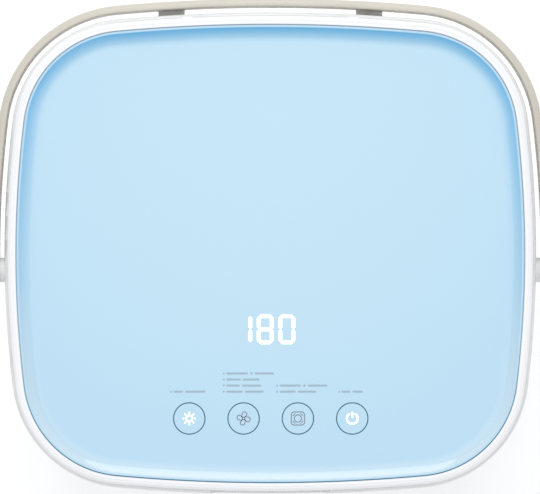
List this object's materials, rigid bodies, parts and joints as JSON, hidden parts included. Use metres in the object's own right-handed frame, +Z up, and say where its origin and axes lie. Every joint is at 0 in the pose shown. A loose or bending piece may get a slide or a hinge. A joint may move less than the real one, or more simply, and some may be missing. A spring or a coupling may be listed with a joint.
{
  "type": "bottle sterilizer",
  "caption": "Bottle sterilizer and dryer: soft-cornered white tank with a wire rack and ultraviolet lamps, a hinged lid with a light blue touch panel, and a fold-back carrying handle.",
  "frame": {"origin": "on the floor the foot ring rests on, under the middle of the tank's plan outline", "axes": "+Z up, -Y towards the front edge of the lid, +X along the long side"},
  "size_m": [0.3378, 0.2988, 0.253],
  "materials": {
    "tank_plastic": "white moulded plastic, fine satin",
    "lid_plastic": "white moulded plastic, smooth",
    "blue_panel": "light blue glossy panel",
    "handle_plastic": "warm pale grey, satin",
    "inner_plastic": "plain moulding",
    "black_plastic": "black moulding",
    "foot_rubber": "grey rubber",
    "seal_silicone": "pale translucent silicone",
    "polished_steel": "polished stainless steel sheet",
    "rack_wire": "polished stainless steel wire",
    "screw_steel": "zinc-plated steel",
    "magnet_nickel": "nickel plate",
    "brass_pin": "brass",
    "heater_aluminium": "bare fins",
    "copper_winding": "enamelled copper wire",
    "circuit_board": "green solder mask",
    "lamp_chip": "light-emitting chip",
    "display_face": "display face",
    "touch_foam": "conductive foam",
    "lamp_glass": "quartz glass",
    "filter_foam": "pleated filter fleece"
  },
  "bodies": {
    "tank": {"outer_shell": "tank_plastic", "base_plate": "tank_plastic", "foot_ring": "foot_rubber", "base_screws": "screw_steel", "rim_ring": "tank_plastic", "inner_liner": "polished_steel", "lid_gasket": "seal_silicone", "floor_lamp_housing": "inner_plastic", "floor_lamp_window": "lamp_glass", "floor_lamp_board": "circuit_board", "floor_lamp_leds": "lamp_chip", "floor_grille": "polished_steel", "air_duct": "inner_plastic", "heater": "heater_aluminium", "thermostat": "screw_steel", "fan_frame": "black_plastic", "fan_stator": "copper_winding", "main_board": "circuit_board", "board_components": "black_plastic", "mains_inlet": "black_plastic", "inlet_pins": "brass_pin", "hinge_brackets": "polished_steel", "bracket_screws": "screw_steel", "tank_magnets": "magnet_nickel", "pivot_bolts": "screw_steel", "pivot_clips": "screw_steel"},
    "fan": {"fan_rotor": "black_plastic"},
    "filter": {"filter_tray": "tank_plastic", "filter_pad": "filter_foam"},
    "handle": {"handle": "handle_plastic", "pivot_caps": "handle_plastic"},
    "lid": {"lid_frame": "lid_plastic", "hinge_pins": "screw_steel", "top_panel": "blue_panel", "lid_liner": "lid_plastic", "lid_screws": "screw_steel", "lid_magnets": "magnet_nickel", "lid_lamp_housing": "inner_plastic", "lid_lamp_window": "lamp_glass", "lid_lamp_board": "circuit_board", "lid_lamp_leds": "lamp_chip", "control_board": "circuit_board", "display_module": "display_face", "touch_pads": "touch_foam", "button_leds": "lamp_chip", "buzzer": "black_plastic"},
    "rack": {"rack_base": "rack_wire", "rack_rim_wire": "rack_wire", "rack_fence": "rack_wire", "rack_loops": "rack_wire", "rack_mesh": "rack_wire", "rack_feet": "seal_silicone"}
  },
  "joints": [
    {"name": "lid_hinge", "type": "hinge", "parent": "tank", "child": "lid", "pos_m": [0, 0.1337, 0.2295], "axis": [-1, 0, 0], "range_deg": [0, 90]},
    {"name": "handle_pivot", "type": "hinge", "parent": "tank", "child": "handle", "pos_m": [0, -0.01, 0.211], "axis": [1, 0, 0], "range_deg": [0, 90]},
    {"name": "fan_spin", "type": "hinge", "parent": "tank", "child": "fan", "pos_m": [0, 0.048, 0.0285], "axis": [0, 0, 1], "continuous": true},
    {"name": "filter_slide", "type": "slide", "parent": "tank", "child": "filter", "axis": [0, 1, 0], "range_m": [0, 0.06]},
    {"name": "rack_lift", "type": "slide", "parent": "tank", "child": "rack", "axis": [0, 0, 1], "range_m": [0, 0.055]}
  ]
}
